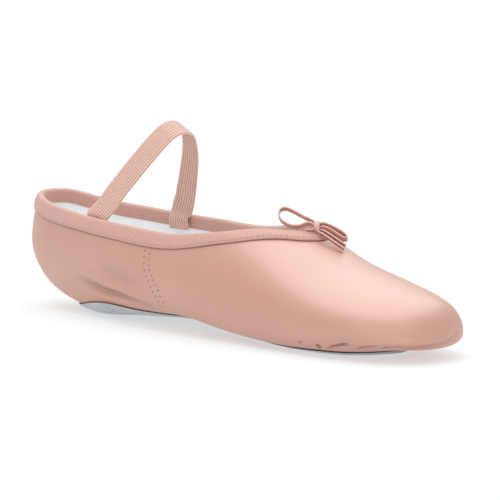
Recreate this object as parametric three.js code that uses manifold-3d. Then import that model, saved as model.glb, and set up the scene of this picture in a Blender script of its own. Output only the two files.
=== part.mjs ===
// A ballet slipper of thin leather: hollow upper, suede outsole, insole, collar binding with its drawstring
// tied in a bow at the throat, and an elastic strap over the instep.
// Millimetres. +X points to the toe, +Y to the wearer's left, +Z up. The shoe stands on the plane Z = 0.
// Inside the functions X runs from the hindmost point of the heel; the whole group is moved at the end, so
// that the origin lies under the middle of the shoe.
import * as THREE from "three";
import { mergeVertices } from "three/addons/utils/BufferGeometryUtils.js";
import Module from "manifold-3d";

const wasm = await Module();
wasm.setup();

// Driving dimensions of the last
const lastLength = 245;
const ballWidth = 73;
const instepHeight = 75.5; // the last's highest point, above the open collar
const heelRise = 29; // from the tread to the hindmost point of the heel
const heelHeight = 53.5; // collar above the floor at the heel

// Leather, sole and insole
const upperWall = 1.3;
const soleThickness = 1.3;
const soleSkive = 0.5; // share of the thickness shaved off at the outsole's edge
const insoleThickness = 1.2;
const pieceGap = 0.3; // clearance between pieces that touch
const treadDepth = 0.5; // how much of the sole's curve is pressed flat on the floor
const hemWidth = 8; // upper turned in under the foot, over the sole's edge
const insoleSetBack = 1.5; // insole's edge inside the outsole's edge

// Collar binding, the casing of the drawstring
const bindingOutside = 6; // how far it reaches down outside
const bindingInside = 5;
const bindingThickness = 0.9;
const bindingSwell = 0.25; // the drawstring inside lifts the middle of the tape

// Elastic strap
const strapWidth = 11;
const strapFootWidth = 12; // spread where it is sewn down
const strapThickness = 1.2;
const strapStation = 60; // from the heel, halfway between its two sewn ends
const strapSlant = 4; // the far end is sewn in this much further forward, the near end further back
const strapRise = 45.5; // highest point above the collar
const strapLean = 25; // forward lean of the highest point
const strapFoot = 5.5; // sewn length below the collar's edge
const strapEase = 0.6; // its flat foot stands off the binding's curve

// Drawstring and bow
const stringWidth = 2.6;
const stringThickness = 0.85;
const knotAhead = 2.45; // knot in front of the throat's edge
const knotAbove = 4.6; // knot over the vamp's surface line at its station
const knotLength = 4.2;
const knotHeight = 4.6;
const knotDepth = 4.4;
const bowYaw = 35; // degrees, the bow's line turned from the shoe's line
const loopLean = 48; // degrees, the heel-ward loop leans back from the near side

// How finely the surfaces are stepped
const ribsPerSide = 40;
const sideSteps = 12;
const tightTurn = 12; // a turn of one radian is stepped as finely as this length
const ribPieces = 72; // stops at which a rib is measured
const angleStops = 400; // stops at which the way round the shoe is measured
const normalStep = 0.004; // on the ball of directions, for the skin's normal
const soleRows = 30;
const soleColumns = 10;
const soleInset = 0.12; // radians of the plan's walk cut off at both ends
const crownSteps = 4;
const strapSteps = 44;
const stringStep = 1.3;
const bandShoulder = 0.86; // share of a band's width that lies flat
const knotSides = 12;

const standHeight = soleThickness + pieceGap - treadDepth; // the upper's lowest point over the floor

// Sections of the last. at is a share of the length, half of half the ball width, rise of heelRise,
// widest and top of instepHeight. full squares the lower half of a section, 0 being an ellipse.
const sections = [
  { at: 0.0, half: 0.0, rise: 1.0, widest: 0.4, top: 0.4, full: 0.0 },
  { at: 0.01, half: 0.335, rise: 0.61, widest: 0.432, top: 0.69, full: 0.0 },
  { at: 0.04, half: 0.48, rise: 0.365, widest: 0.414, top: 0.898, full: 0.02 },
  { at: 0.1, half: 0.62, rise: 0.145, widest: 0.361, top: 0.991, full: 0.04 },
  { at: 0.2, half: 0.765, rise: 0.0, widest: 0.314, top: 1.0, full: 0.05 },
  { at: 0.32, half: 0.885, rise: 0.085, widest: 0.288, top: 0.974, full: 0.05 },
  { at: 0.45, half: 0.96, rise: 0.14, widest: 0.249, top: 0.89, full: 0.04 },
  { at: 0.56, half: 0.98, rise: 0.055, widest: 0.215, top: 0.817, full: 0.06 },
  { at: 0.66, half: 0.99, rise: 0.01, widest: 0.187, top: 0.682, full: 0.09 },
  { at: 0.75, half: 1.0, rise: 0.0, widest: 0.17, top: 0.535, full: 0.09 },
  { at: 0.84, half: 0.965, rise: 0.0, widest: 0.168, top: 0.446, full: 0.06 },
  { at: 0.92, half: 0.82, rise: 0.09, widest: 0.158, top: 0.382, full: 0.03 },
  { at: 0.97, half: 0.57, rise: 0.135, widest: 0.14, top: 0.324, full: 0.01 },
  { at: 1.0, half: 0.0, rise: 0.265, widest: 0.117, top: 0.117, full: 0.0 },
];

// The collar's edge above the floor. at is a share of the length, height of heelHeight.
const collarLine = [
  { at: 0.0, height: 1.0 },
  { at: 0.06, height: 0.928 },
  { at: 0.2, height: 0.858 },
  { at: 0.34, height: 0.823 },
  { at: 0.46, height: 0.81 },
  { at: 0.56, height: 0.873 },
  { at: 0.64, height: 0.921 },
  { at: 0.7, height: 0.899 },
];

// Plan of the outsole. at is a share of the length, half of half the ball width.
const solePlan = [
  { at: 0.11, half: 0.0 },
  { at: 0.128, half: 0.22 },
  { at: 0.165, half: 0.46 },
  { at: 0.22, half: 0.65 },
  { at: 0.3, half: 0.72 },
  { at: 0.36, half: 0.65 },
  { at: 0.42, half: 0.47 },
  { at: 0.5, half: 0.36 },
  { at: 0.58, half: 0.44 },
  { at: 0.66, half: 0.6 },
  { at: 0.74, half: 0.73 },
  { at: 0.8, half: 0.75 },
  { at: 0.85, half: 0.6 },
  { at: 0.88, half: 0.4 },
  { at: 0.895, half: 0.0 },
];

// Half of the strap, from the collar to its top. up is a share of strapRise, out of the half span at its
// foot, lean of strapLean.
const strapArch = [
  { up: 0.07, out: 1.05, lean: 0.033 },
  { up: 0.18, out: 1.0, lean: 0.18 },
  { up: 0.35, out: 0.9, lean: 0.352 },
  { up: 0.53, out: 0.765, lean: 0.544 },
  { up: 0.71, out: 0.61, lean: 0.733 },
  { up: 0.87, out: 0.425, lean: 0.882 },
  { up: 0.97, out: 0.238, lean: 0.975 },
  { up: 1.0, out: 0.0, lean: 1.0 },
];

// Routes of the drawstring outside its casing, chosen by hand, in millimetres from the knot's middle.
// along runs on the bow's line to the toe, up is upwards, out is square to the bow's line, to the near side.
const routes = {
  drawstring_near: [
    { along: -4.9, up: -1.4, out: 0.6 },
    { along: -3.5, up: -1.4, out: 0.7 },
    { along: -1.6, up: -1.1, out: 0.6 },
  ],
  drawstring_far: [
    { along: -2.9, up: -0.6, out: -3.6 },
    { along: -2.0, up: -0.4, out: -2.4 },
    { along: -0.8, up: -0.2, out: -1.1 },
  ],
  bow_loop_heel: [
    { along: -1.2, up: 1.7, out: -0.6 },
    { along: -3.2, up: 2.5, out: -1.1 },
    { along: -6.0, up: 3.5, out: -2.2 },
    { along: -9.3, up: 4.9, out: -3.6 },
    { along: -12.6, up: 6.2, out: -4.9 },
    { along: -15.1, up: 6.6, out: -5.6 },
    { along: -16.9, up: 5.9, out: -5.3 },
    { along: -17.3, up: 4.0, out: -3.9 },
    { along: -16.1, up: 1.9, out: -2.0 },
    { along: -13.7, up: 0.3, out: -0.5 },
    { along: -10.9, up: -0.5, out: 0.3 },
    { along: -8.1, up: -0.5, out: 0.4 },
    { along: -5.6, up: 0.5, out: 0.3 },
    { along: -3.2, up: 1.1, out: 0.5 },
    { along: -1.1, up: 0.4, out: 0.8 },
  ],
  bow_loop_toe: [
    { along: 1.1, up: 0.7, out: -0.9 },
    { along: 2.6, up: 0.7, out: -1.3 },
    { along: 5.5, up: -0.2, out: -1.9 },
    { along: 8.6, up: -1.6, out: -2.2 },
    { along: 11.4, up: -3.2, out: -2.3 },
    { along: 13.0, up: -4.7, out: -2.0 },
    { along: 13.2, up: -5.8, out: -1.2 },
    { along: 12.0, up: -6.0, out: -0.6 },
    { along: 9.1, up: -4.2, out: -0.5 },
    { along: 5.7, up: -2.1, out: -0.4 },
    { along: 2.8, up: -0.9, out: -0.2 },
    { along: 1.2, up: -0.6, out: -0.1 },
  ],
  bow_tail_far: [
    { along: 1.3, up: -1.7, out: 0.1 },
    { along: 2.9, up: -2.2, out: 0.3 },
    { along: 5.9, up: -3.7, out: 0.6 },
    { along: 9.3, up: -5.8, out: 0.7 },
    { along: 13.1, up: -8.1, out: 0.7 },
  ],
  bow_tail_near: [
    { along: 0.9, up: -2.4, out: 1.1 },
    { along: 3.0, up: -3.4, out: 1.8 },
    { along: 6.0, up: -5.2, out: 2.2 },
    { along: 9.4, up: -7.4, out: 2.3 },
    { along: 12.8, up: -9.5, out: 2.3 },
  ],
};
const stringTilt = {
  drawstring_near: 0,
  drawstring_far: 0,
  bow_loop_heel: loopLean,
  bow_loop_toe: 45,
  bow_tail_far: 35,
  bow_tail_near: 25,
};

const leather = { color: 0xe4b8a4, roughness: 0.5, metalness: 0 };
const suede = { color: 0xaaacae, roughness: 0.95, metalness: 0 };
const liningCloth = { color: 0xe1e6e8, roughness: 0.9, metalness: 0 };
const bindingCloth = { color: 0xd2aaa0, roughness: 0.85, metalness: 0 };
const elasticCloth = { color: 0xe3b7a3, roughness: 0.8, metalness: 0 };
const stringCloth = { color: 0xd39e8d, roughness: 0.8, metalness: 0 };

function column(rows, name) {
  return rows.map((row) => row[name]);
}

// A smooth line through a table: cubic pieces whose slopes come from both neighbours.
function smoothLine(xs, ys) {
  const last = xs.length - 1;
  const grade = [];
  for (let i = 0; i < last; i += 1) {
    grade.push((ys[i + 1] - ys[i]) / (xs[i + 1] - xs[i]));
  }
  const slope = [grade[0]];
  for (let i = 1; i < last; i += 1) {
    const before = xs[i] - xs[i - 1];
    const after = xs[i + 1] - xs[i];
    slope.push((grade[i - 1] * after + grade[i] * before) / (before + after));
  }
  slope.push(grade[last - 1]);
  return (x) => {
    let i = 0;
    while (i < last - 1 && x > xs[i + 1]) i += 1;
    const width = xs[i + 1] - xs[i];
    const t = (x - xs[i]) / width;
    const rest = 1 - t;
    const start = ys[i] * rest * rest * (1 + 2 * t) + slope[i] * width * t * rest * rest;
    const end = ys[i + 1] * t * t * (3 - 2 * t) - slope[i + 1] * width * t * t * rest;
    return start + end;
  };
}

// The turn along the shoe, 0 at the heel and pi at the toe, so that both ends close round.
function turnAt(x) {
  return Math.acos(THREE.MathUtils.clamp(1 - (2 * x) / lastLength, -1, 1));
}

const turns = sections.map((row) => turnAt(row.at * lastLength));
const sectionLine = {};
for (const name of ["half", "rise", "widest", "top", "full"]) {
  sectionLine[name] = smoothLine(turns, column(sections, name));
}

function sectionAt(turn) {
  return {
    half: (sectionLine.half(turn) * ballWidth) / 2,
    bottom: standHeight + sectionLine.rise(turn) * heelRise,
    widest: sectionLine.widest(turn) * instepHeight,
    top: sectionLine.top(turn) * instepHeight,
    full: sectionLine.full(turn),
  };
}

// The last's skin is named by a direction, as on a ball: round the shoe from the bottom line (girth 0) over
// the side to the top line (girth pi), and along it by the turn.
function direction(turn, girth) {
  const x = -Math.cos(turn);
  const y = Math.sin(turn) * Math.sin(girth);
  const z = -Math.sin(turn) * Math.cos(girth);
  return new THREE.Vector3(x, y, z);
}

function skin(dir) {
  const turn = Math.acos(THREE.MathUtils.clamp(-dir.x, -1, 1));
  const girth = Math.abs(Math.atan2(dir.y, -dir.z));
  const side = dir.y < 0 ? -1 : 1;
  const row = sectionAt(turn);
  const low = girth < Math.PI / 2;
  const full = low ? row.full : 0;
  const out = (Math.sin(girth) + full * Math.sin(3 * girth)) / (1 - full);
  const drop = (Math.cos(girth) - full * Math.cos(3 * girth)) / (1 - full);
  const reach = low ? row.widest - row.bottom : row.top - row.widest;
  const x = (lastLength * (1 - Math.cos(turn))) / 2;
  return new THREE.Vector3(x, side * row.half * out, row.widest - reach * drop);
}

function outward(dir) {
  const helper = Math.abs(dir.x) < 0.8 ? new THREE.Vector3(1, 0, 0) : new THREE.Vector3(0, 0, 1);
  const first = new THREE.Vector3().crossVectors(dir, helper).normalize();
  const second = new THREE.Vector3().crossVectors(dir, first).normalize();
  const slopeAlong = (tangent) => {
    const ahead = skin(dir.clone().addScaledVector(tangent, normalStep).normalize());
    const behind = skin(dir.clone().addScaledVector(tangent, -normalStep).normalize());
    return ahead.sub(behind);
  };
  return new THREE.Vector3().crossVectors(slopeAlong(first), slopeAlong(second)).normalize();
}

// A point at a height over the last's skin, below it where the height is negative.
function over(dir, height) {
  return skin(dir).addScaledVector(outward(dir), height);
}

// Where a falling value passes zero between two bounds
function crossing(value, low, high) {
  let a = low;
  let b = high;
  for (let i = 0; i < 48; i += 1) {
    const middle = (a + b) / 2;
    if (value(middle) > 0) a = middle;
    else b = middle;
  }
  return (a + b) / 2;
}

// The collar's edge: it starts and ends where its height meets the last's top line.
const collarShare = smoothLine(column(collarLine, "at"), column(collarLine, "height"));
const collarHeight = (x) => collarShare(x / lastLength) * heelHeight;
const aboveCollar = (x) => sectionAt(turnAt(x)).top - collarHeight(x);
const collarBack = crossing((x) => -aboveCollar(x), 0.001 * lastLength, 0.1 * lastLength);
const collarFront = crossing(aboveCollar, 0.45 * lastLength, 0.78 * lastLength);

function collarDirection(angle) {
  const x = collarBack + ((collarFront - collarBack) * (1 - Math.cos(angle))) / 2;
  const turn = turnAt(x);
  const row = sectionAt(turn);
  const share = THREE.MathUtils.clamp((collarHeight(x) - row.widest) / (row.top - row.widest), -1, 1);
  return direction(turn, Math.PI - Math.acos(share));
}

// The sole's plan, walked by an angle from its heel end (0) to its toe end (pi), and set back by a margin.
const planBack = solePlan[0].at * lastLength;
const planFront = solePlan[solePlan.length - 1].at * lastLength;
const planAngle = (at) => {
  const share = (2 * (at * lastLength - planBack)) / (planFront - planBack);
  return Math.acos(THREE.MathUtils.clamp(1 - share, -1, 1));
};
const planHalf = smoothLine(solePlan.map((row) => planAngle(row.at)), column(solePlan, "half"));

function girthAt(row, y) {
  const width = (girth) => (Math.sin(girth) + row.full * Math.sin(3 * girth)) / (1 - row.full);
  return crossing((girth) => y - row.half * width(girth), 0, Math.PI / 2);
}

// A point of the plan: across runs from -1 at the near edge to 1 at the far edge.
function soleDirection(angle, across, margin) {
  const back = planBack + margin;
  const x = back + ((planFront - margin - back) * (1 - Math.cos(angle))) / 2;
  const half = (planHalf(angle) * ballWidth) / 2 - margin * Math.sin(angle);
  const turn = turnAt(x);
  const girth = girthAt(sectionAt(turn), Math.abs(across) * half);
  return direction(turn, across < 0 ? -girth : girth);
}

// The shortest way over the ball of directions, from the collar (0) to the sole opening (1)
function between(angle, share) {
  const start = collarDirection(angle);
  const end = soleDirection(angle, 1, hemWidth);
  const arc = start.angleTo(end);
  const a = Math.sin((1 - share) * arc) / Math.sin(arc);
  const b = Math.sin(share * arc) / Math.sin(arc);
  return start.multiplyScalar(a).addScaledVector(end, b).normalize();
}

// Distances walked along a line of points, where a turn of one radian counts as much as turnWorth
function walk(points, turnWorth) {
  const walked = [0];
  for (let i = 1; i < points.length; i += 1) {
    const step = points[i].clone().sub(points[i - 1]);
    const before = i > 1 ? points[i - 1].clone().sub(points[i - 2]) : step;
    walked.push(walked[i - 1] + step.length() + turnWorth * step.angleTo(before));
  }
  return walked;
}

// The place in a growing list where a goal is reached, as a position with its share of a step
function placeOf(walked, goal) {
  let i = 1;
  while (i < walked.length - 1 && walked[i] < goal) i += 1;
  return i - 1 + (goal - walked[i - 1]) / (walked[i] - walked[i - 1]);
}

// Angles of the ribs, at even steps of the collar's way and the girdle's way together
function spreadRibs(count) {
  const angles = [];
  for (let i = 0; i <= angleStops; i += 1) angles.push((Math.PI * i) / angleStops);
  const collar = walk(angles.map((angle) => skin(between(angle, 0))), tightTurn);
  const girdle = walk(angles.map((angle) => skin(between(angle, 0.5))), tightTurn);
  const both = collar.map((value, i) => value + girdle[i]);
  const stops = [];
  for (let k = 0; k <= count; k += 1) {
    stops.push((Math.PI * placeOf(both, (both[angleStops] * k) / count)) / angleStops);
  }
  return stops;
}

// A rib of the upper, with its directions from the collar down and the way walked along it
function rib(index) {
  const near = index > ribsPerSide;
  const angle = ribAngles[near ? 2 * ribsPerSide - index : index];
  const dirs = [];
  for (let i = 0; i <= ribPieces; i += 1) {
    const dir = between(angle, i / ribPieces);
    if (near) dir.y = -dir.y;
    dirs.push(dir);
  }
  const points = dirs.map(skin);
  const walked = walk(points, 0);
  return { dirs, walked, turned: walk(points, tightTurn), length: walked[ribPieces] };
}

// The direction at a distance below the collar's edge, along a rib.
function below(oneRib, distance) {
  return directionAt(oneRib, placeOf(oneRib.walked, distance));
}

function directionAt(oneRib, place) {
  const i = Math.min(Math.floor(place), oneRib.dirs.length - 2);
  return oneRib.dirs[i].clone().lerp(oneRib.dirs[i + 1], place - i).normalize();
}

function volumeOf(points, faces) {
  let six = 0;
  for (const [a, b, c] of faces) {
    six += points[a].dot(new THREE.Vector3().crossVectors(points[b], points[c]));
  }
  return six / 6;
}

// A closed body from rings of points. Each ring closes on itself; the rings either close on the first one or
// are capped at both ends.
function ringBody(rings, capped) {
  const size = rings[0].length;
  const points = rings.flat();
  const faces = [];
  const spans = capped ? rings.length - 1 : rings.length;
  for (let i = 0; i < spans; i += 1) {
    const next = (i + 1) % rings.length;
    for (let j = 0; j < size; j += 1) {
      const across = (j + 1) % size;
      const a = i * size + j;
      const b = next * size + j;
      const c = next * size + across;
      const d = i * size + across;
      faces.push([a, b, c], [a, c, d]);
    }
  }
  if (capped) {
    for (const end of [0, rings.length - 1]) {
      const middle = new THREE.Vector3();
      for (const point of rings[end]) middle.addScaledVector(point, 1 / size);
      const centre = points.push(middle) - 1;
      for (let j = 0; j < size; j += 1) {
        const a = end * size + j;
        const b = end * size + ((j + 1) % size);
        faces.push(end === 0 ? [centre, a, b] : [centre, b, a]);
      }
    }
  }
  if (volumeOf(points, faces) < 0) {
    for (const face of faces) face.reverse();
  }
  const geometry = new THREE.BufferGeometry();
  geometry.setAttribute("position", new THREE.Float32BufferAttribute(points.flatMap((p) => p.toArray()), 3));
  geometry.setIndex(faces.flat());
  return geometry;
}

function named(name, geometry, look) {
  geometry.computeVertexNormals();
  const mesh = new THREE.Mesh(geometry, new THREE.MeshStandardMaterial(look));
  mesh.name = name;
  return mesh;
}

const ribAngles = spreadRibs(ribsPerSide);
const ribs = [];
for (let i = 0; i < 2 * ribsPerSide; i += 1) ribs.push(rib(i));

// Upper: the skin, its wall's inner skin, open at the collar and at the sole opening
function makeUpper() {
  const rings = ribs.map((oneRib) => {
    const dirs = [0, bindingOutside / 2, bindingOutside].map((distance) => below(oneRib, distance));
    const last = oneRib.dirs.length - 1;
    const edge = placeOf(oneRib.walked, bindingOutside);
    const before = Math.floor(edge);
    const start = THREE.MathUtils.lerp(oneRib.turned[before], oneRib.turned[before + 1], edge - before);
    for (let i = 1; i <= sideSteps; i += 1) {
      const goal = start + ((oneRib.turned[last] - start) * i) / sideSteps;
      dirs.push(directionAt(oneRib, placeOf(oneRib.turned, goal)));
    }
    const outer = dirs.map((dir) => over(dir, 0));
    const inner = dirs.map((dir) => over(dir, -upperWall));
    return [...outer, ...inner.reverse()];
  });
  return named("upper", ringBody(rings, false), leather);
}

// A layer that follows the underside, between two heights over the skin, pressed flat at the floor. Its lower
// side is skived towards the edge.
function underLayer(name, margin, lowHeight, highHeight, skive, look) {
  const rings = [];
  for (let i = 0; i <= soleRows; i += 1) {
    const angle = THREE.MathUtils.lerp(soleInset, Math.PI - soleInset, i / soleRows);
    const lower = [];
    const higher = [];
    for (let j = 0; j <= soleColumns; j += 1) {
      const across = Math.sin(Math.PI * (j / soleColumns - 0.5));
      const dir = soleDirection(angle, across, margin);
      const low = over(dir, THREE.MathUtils.lerp(lowHeight, highHeight, skive * across ** 4));
      low.z = Math.max(low.z, 0);
      lower.push(low);
      higher.push(over(dir, highHeight));
    }
    rings.push([...lower, ...higher.reverse()]);
  }
  return named(name, ringBody(rings, true), look);
}

function makeOutsole() {
  return underLayer("outsole", 0, pieceGap + soleThickness, pieceGap, soleSkive, suede);
}

function makeInsole() {
  const low = -(upperWall + pieceGap);
  return underLayer("insole", insoleSetBack, low, low - insoleThickness, 0, liningCloth);
}

// Binding: a tape folded over the collar's edge, with a round crown
function makeBinding() {
  const outside = pieceGap + bindingThickness;
  const inside = upperWall + pieceGap + bindingThickness;
  const crownRadius = (outside + inside) / 2;
  const rings = ribs.map((oneRib) => {
    const edge = below(oneRib, 0);
    const normal = outward(edge);
    const upwards = skin(edge).sub(skin(below(oneRib, 1))).normalize();
    const at = (distance, height) => over(below(oneRib, distance), height);
    const overEdge = (height, lift) => over(edge, height).addScaledVector(upwards, lift);
    const crown = [];
    for (let i = 0; i <= crownSteps; i += 1) {
      const angle = (Math.PI * i) / crownSteps;
      const middle = skin(edge).addScaledVector(normal, (outside - inside) / 2);
      middle.addScaledVector(normal, crownRadius * Math.cos(angle));
      crown.push(middle.addScaledVector(upwards, crownRadius * Math.sin(angle)));
    }
    return [
      at(bindingOutside, pieceGap),
      at(bindingOutside, outside),
      at(bindingOutside / 2, outside + bindingSwell),
      ...crown,
      at(bindingInside / 2, -inside - bindingSwell),
      at(bindingInside, -inside),
      at(bindingInside, -upperWall - pieceGap),
      overEdge(-upperWall - pieceGap, pieceGap),
      overEdge(pieceGap, pieceGap),
      at(bindingOutside / 2, pieceGap),
    ];
  });
  return named("collar_binding", ringBody(rings, false), bindingCloth);
}

// A flat band along a route, as rings of six points: its middle line, the way its width runs and its width
function bandRings(stops, thickness) {
  return stops.map(({ middle, tangent, across, width }) => {
    const side = across.clone().addScaledVector(tangent, -across.dot(tangent)).normalize();
    const face = new THREE.Vector3().crossVectors(tangent, side).normalize();
    const corner = (s, f) => {
      const point = middle.clone().addScaledVector(side, (s * width) / 2);
      return point.addScaledVector(face, (f * thickness) / 2);
    };
    const flat = bandShoulder;
    const firstFace = [corner(1, 0), corner(flat, 1), corner(-flat, 1)];
    const secondFace = [corner(-1, 0), corner(-flat, -1), corner(flat, -1)];
    return [...firstFace, ...secondFace];
  });
}

// The rib of the far side whose upper end lies nearest to a station of the collar
function ribNear(x) {
  const misses = ribs.slice(0, ribsPerSide).map((oneRib) => Math.abs(skin(below(oneRib, 0)).x - x));
  return ribs[misses.indexOf(Math.min(...misses))];
}

// Strap: sewn inside the binding on both sides, an arch that leans to the toe between them
function makeStrap() {
  const bindingFace = upperWall + pieceGap + bindingThickness + bindingSwell;
  const depth = -(bindingFace + pieceGap + strapEase + strapThickness / 2);
  const seatAt = (station, distance) => {
    const seatRib = ribNear(station);
    const point = over(below(seatRib, distance), depth);
    point.x += station - skin(below(seatRib, 0)).x;
    return point;
  };
  const rest = seatAt(strapStation, 0);
  const halfOn = (side) => {
    const station = strapStation + side * strapSlant;
    const foot = [strapFoot, strapFoot / 2, 0].map((distance) => {
      const point = seatAt(station, distance);
      point.y *= side;
      return point;
    });
    const arch = strapArch.map(
      (row) =>
        new THREE.Vector3(
          strapStation + side * strapSlant * (1 - row.up) + row.lean * strapLean,
          row.out * foot[2].y,
          rest.z + row.up * strapRise,
        ),
    );
    return [...foot, ...arch];
  };
  const whole = [...halfOn(-1).slice(0, -1), ...halfOn(1).reverse()];
  const curve = new THREE.CatmullRomCurve3(whole, false, "centripetal");
  const archAcross = new THREE.Vector3(1, 0, -strapLean / strapRise).normalize();
  const stops = [];
  for (let i = 0; i <= strapSteps; i += 1) {
    const middle = curve.getPointAt(i / strapSteps);
    const risen = THREE.MathUtils.smoothstep(middle.z, rest.z, rest.z + strapRise / 3);
    stops.push({
      middle,
      tangent: curve.getTangentAt(i / strapSteps),
      across: new THREE.Vector3(1, 0, 0).lerp(archAcross, risen).normalize(),
      width: THREE.MathUtils.lerp(strapFootWidth, strapWidth, risen),
    });
  }
  return named("elastic_strap", ringBody(bandRings(stops, strapThickness), true), elasticCloth);
}

// The bow's own frame, with its origin at the knot's middle
const knotStation = collarFront + knotAhead;
const knotMiddle = new THREE.Vector3(knotStation, 0, sectionAt(turnAt(knotStation)).top + knotAbove);
const yaw = THREE.MathUtils.degToRad(bowYaw);
const bowAlong = new THREE.Vector3(Math.cos(yaw), Math.sin(yaw), 0);
const bowOut = new THREE.Vector3(Math.sin(yaw), -Math.cos(yaw), 0);
const upward = new THREE.Vector3(0, 0, 1);

function bowPoint({ along, up, out }) {
  const point = knotMiddle.clone().addScaledVector(bowAlong, along);
  return point.addScaledVector(upward, up).addScaledVector(bowOut, out);
}

function makeString(name) {
  const curve = new THREE.CatmullRomCurve3(routes[name].map(bowPoint), false, "centripetal");
  const steps = Math.max(3, Math.round(curve.getLength() / stringStep));
  const tilt = THREE.MathUtils.degToRad(stringTilt[name]);
  const across = bowOut.clone().multiplyScalar(Math.cos(tilt)).addScaledVector(upward, Math.sin(tilt));
  const stops = [];
  for (let i = 0; i <= steps; i += 1) {
    const tangent = curve.getTangentAt(i / steps);
    stops.push({ middle: curve.getPointAt(i / steps), tangent, across, width: stringWidth });
  }
  return ringBody(bandRings(stops, stringThickness), true);
}

// Knot: a round wrap, square to the bow's line, waisted at both ends of its barrel
function knotGeometry(growth) {
  const profile = [
    { along: -1.0, radius: 0.4 },
    { along: -0.85, radius: 0.78 },
    { along: -0.4, radius: 1.0 },
    { along: 0.4, radius: 1.0 },
    { along: 0.85, radius: 0.78 },
    { along: 1.0, radius: 0.4 },
  ];
  const rings = profile.map((row) => {
    const ring = [];
    for (let j = 0; j < knotSides; j += 1) {
      const angle = (2 * Math.PI * j) / knotSides;
      const along = row.along * (knotLength / 2 + growth);
      const up = row.radius * (knotHeight / 2 + growth) * Math.sin(angle);
      const out = row.radius * (knotDepth / 2 + growth) * Math.cos(angle);
      ring.push(bowPoint({ along, up, out }));
    }
    return ring;
  });
  return ringBody(rings, true);
}

function toSolid(geometry) {
  const bare = geometry.clone();
  bare.deleteAttribute("normal");
  const merged = mergeVertices(bare, 1e-4);
  const vertProperties = new Float32Array(merged.attributes.position.array);
  const triVerts = new Uint32Array(merged.index.array);
  return new wasm.Manifold(new wasm.Mesh({ numProp: 3, vertProperties, triVerts }));
}

function fromSolid(solid) {
  const mesh = solid.getMesh();
  const geometry = new THREE.BufferGeometry();
  geometry.setAttribute("position", new THREE.Float32BufferAttribute(mesh.vertProperties, 3));
  geometry.setIndex(new THREE.Uint32BufferAttribute(mesh.triVerts, 1));
  return geometry;
}

const shoe = new THREE.Group();
shoe.position.x = -lastLength / 2;
shoe.add(makeUpper(), makeOutsole(), makeInsole(), makeBinding(), makeStrap());

const knotRoom = toSolid(knotGeometry(pieceGap));
for (const name of Object.keys(routes)) {
  const trimmed = toSolid(makeString(name)).subtract(knotRoom);
  shoe.add(named(name, fromSolid(trimmed), stringCloth));
}
shoe.add(named("bow_knot", knotGeometry(0), stringCloth));

export default shoe;
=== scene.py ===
# Ballet slipper of thin pink leather, dressed over its plain solids.
# Metres. +X to the toe, +Y to the wearer's left, +Z up, the sole on the floor.
import math

import bmesh
import bpy
import numpy as np
from mathutils import Matrix, Vector, noise


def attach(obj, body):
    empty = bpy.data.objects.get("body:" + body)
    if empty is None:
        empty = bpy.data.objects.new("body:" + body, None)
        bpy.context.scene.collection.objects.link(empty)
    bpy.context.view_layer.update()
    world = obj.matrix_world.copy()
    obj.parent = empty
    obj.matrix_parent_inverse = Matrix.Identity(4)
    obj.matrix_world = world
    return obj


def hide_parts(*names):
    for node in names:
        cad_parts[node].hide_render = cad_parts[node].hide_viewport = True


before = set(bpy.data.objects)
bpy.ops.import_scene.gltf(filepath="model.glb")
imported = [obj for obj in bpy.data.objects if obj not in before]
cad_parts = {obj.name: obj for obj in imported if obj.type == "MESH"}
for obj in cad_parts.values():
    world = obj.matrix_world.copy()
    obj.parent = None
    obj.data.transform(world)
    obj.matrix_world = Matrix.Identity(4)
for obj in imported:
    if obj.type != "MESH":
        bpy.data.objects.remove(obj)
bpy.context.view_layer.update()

# The last: the same sizes and sections as the solids have

last = {
    "length": 0.245,
    "ballWidth": 0.073,
    "instep": 0.0755,
    "heelRise": 0.029,
    "heelHeight": 0.0535,
    "wall": 0.0013,
    "sole": 0.0013,
    "skive": 0.5,
    "insole": 0.0012,
    "gap": 0.0003,
    "tread": 0.0005,
    "hem": 0.008,
    "insoleSetBack": 0.0015,
    "tightTurn": 0.012,  # a turn of one radian is stepped as finely as this length
}
last["stand"] = last["sole"] + last["gap"] - last["tread"]

sectionAt = [0, 0.01, 0.04, 0.1, 0.2, 0.32, 0.45, 0.56, 0.66, 0.75, 0.84, 0.92, 0.97, 1]
sectionShares = {
    "half": [0, 0.335, 0.48, 0.62, 0.765, 0.885, 0.96, 0.98, 0.99, 1, 0.965, 0.82, 0.57, 0],
    "rise": [1, 0.61, 0.365, 0.145, 0, 0.085, 0.14, 0.055, 0.01, 0, 0, 0.09, 0.135, 0.265],
    "widest": [0.4, 0.432, 0.414, 0.361, 0.314, 0.288, 0.249, 0.215, 0.187, 0.17, 0.168, 0.158, 0.14, 0.117],
    "top": [0.4, 0.69, 0.898, 0.991, 1, 0.974, 0.89, 0.817, 0.682, 0.535, 0.446, 0.382, 0.324, 0.117],
    "full": [0, 0, 0.02, 0.04, 0.05, 0.05, 0.04, 0.06, 0.09, 0.09, 0.06, 0.03, 0.01, 0],
}
collarAt = [0, 0.06, 0.2, 0.34, 0.46, 0.56, 0.64, 0.7]
collarShares = [1, 0.928, 0.858, 0.823, 0.81, 0.873, 0.921, 0.899]
planAt = [0.11, 0.128, 0.165, 0.22, 0.3, 0.36, 0.42, 0.5, 0.58, 0.66, 0.74, 0.8, 0.85, 0.88, 0.895]
planShares = [0, 0.22, 0.46, 0.65, 0.72, 0.65, 0.47, 0.36, 0.44, 0.6, 0.73, 0.75, 0.6, 0.4, 0]


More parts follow.
